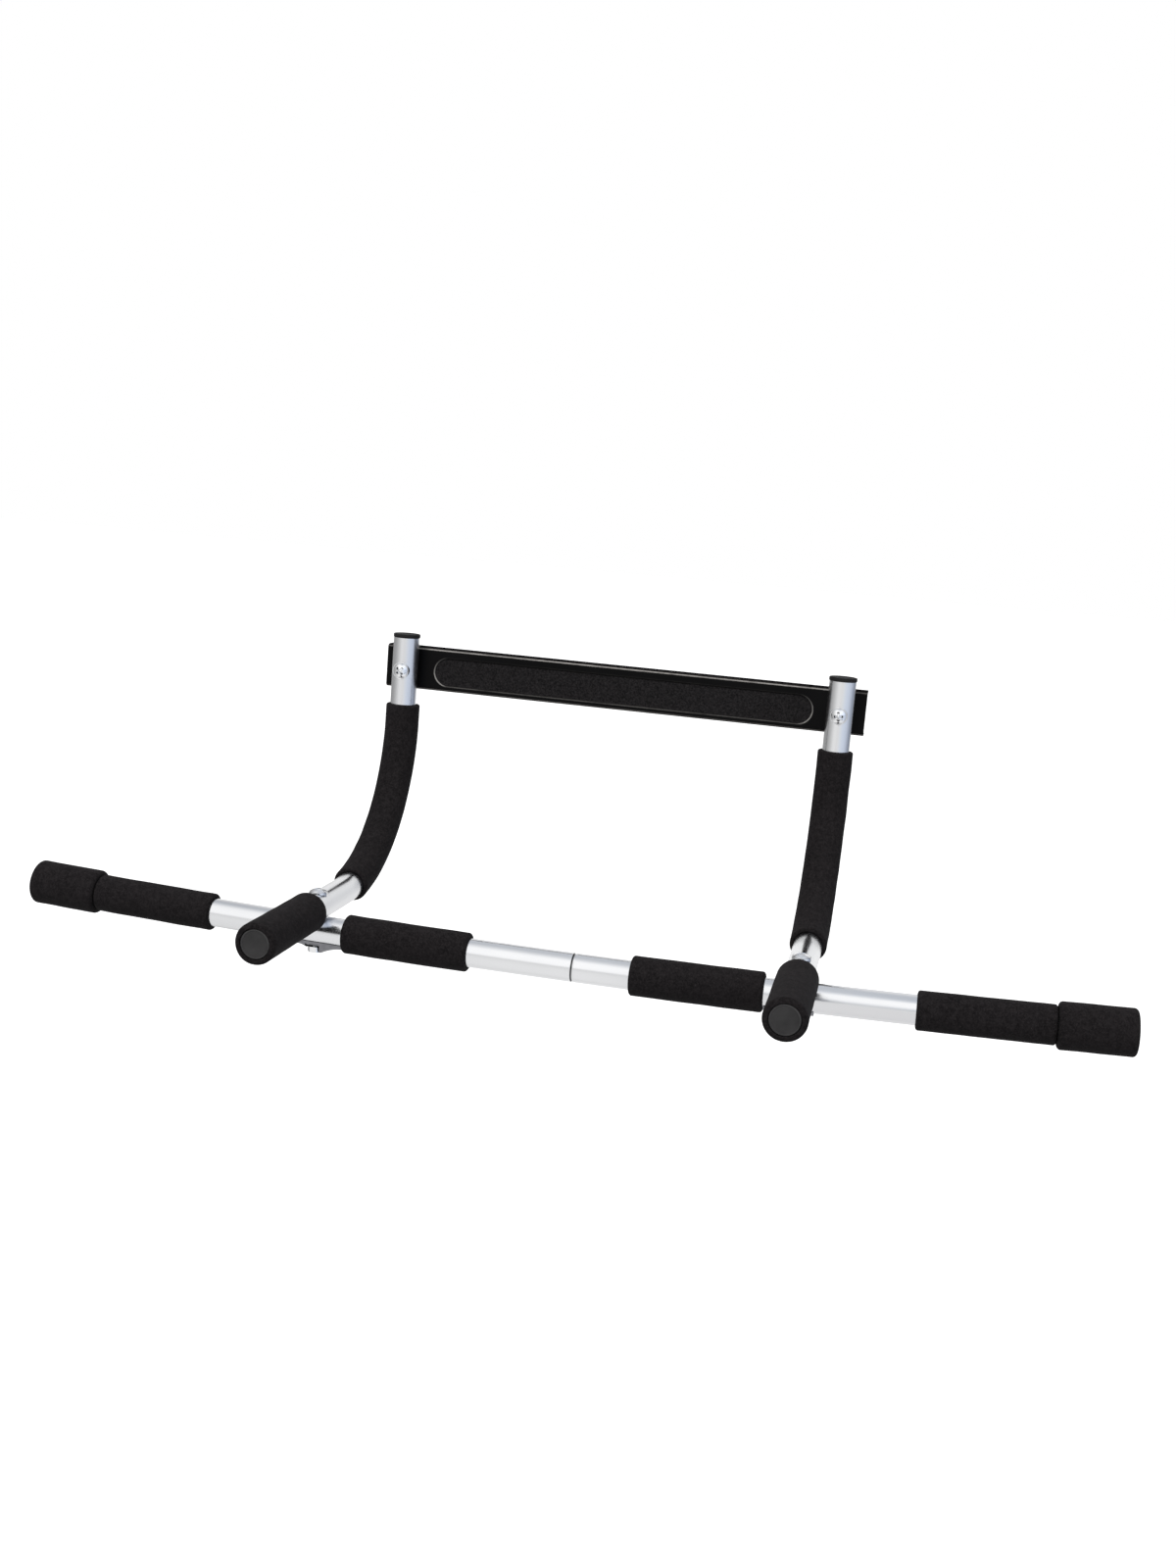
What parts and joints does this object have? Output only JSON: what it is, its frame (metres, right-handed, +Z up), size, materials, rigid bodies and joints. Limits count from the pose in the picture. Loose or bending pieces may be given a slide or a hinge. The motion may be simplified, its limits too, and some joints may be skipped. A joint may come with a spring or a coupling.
{
  "type": "doorway pull-up bar",
  "caption": "Chromed doorway pull-up bar with black foam grips, curved arms with forward handles and a black steel channel that hooks over the door trim.",
  "frame": {"origin": "middle of the flat underside of the steel channel, which rests on the door trim", "axes": "+X along the main bar to the right as seen from the handles, +Y from the handles to the channel, +Z up"},
  "size_m": [0.9714, 0.367, 0.2704],
  "materials": {
    "chrome_tube": "bright plated, slightly satin",
    "black_plate": "black enamel with a fine hammered grain in the recess",
    "foam": "matte fine-celled foam",
    "plug_plastic": "matte moulded",
    "bright_hardware": "bright zinc or nickel plate",
    "cast_metal": "dull grey cast zinc"
  },
  "bodies": {
    "root": {"main_tube_left": "chrome_tube", "main_tube_right": "chrome_tube", "arm_left": "chrome_tube", "arm_right": "chrome_tube", "door_plate": "black_plate", "bumper_left": "foam", "bumper_right": "foam", "outer_grip_left": "foam", "outer_grip_right": "foam", "inner_grip_left": "foam", "inner_grip_right": "foam", "handle_grip_left": "foam", "handle_grip_right": "foam", "arm_sleeve_left": "foam", "arm_sleeve_right": "foam", "handle_plug_left": "plug_plastic", "handle_plug_right": "plug_plastic", "upright_cap_left": "plug_plastic", "upright_cap_right": "plug_plastic", "bar_plug_left": "plug_plastic", "bar_plug_right": "plug_plastic", "plate_bolt_left": "bright_hardware", "plate_bolt_right": "bright_hardware", "plate_nut_left": "bright_hardware", "plate_nut_right": "bright_hardware", "bar_bolt_left": "bright_hardware", "bar_bolt_right": "bright_hardware", "bar_nut_left": "bright_hardware", "bar_nut_right": "bright_hardware", "nut_saddle_left": "cast_metal", "nut_saddle_right": "cast_metal", "saddle_washers": "bright_hardware", "flat_washers": "bright_hardware"}
  },
  "joints": []
}
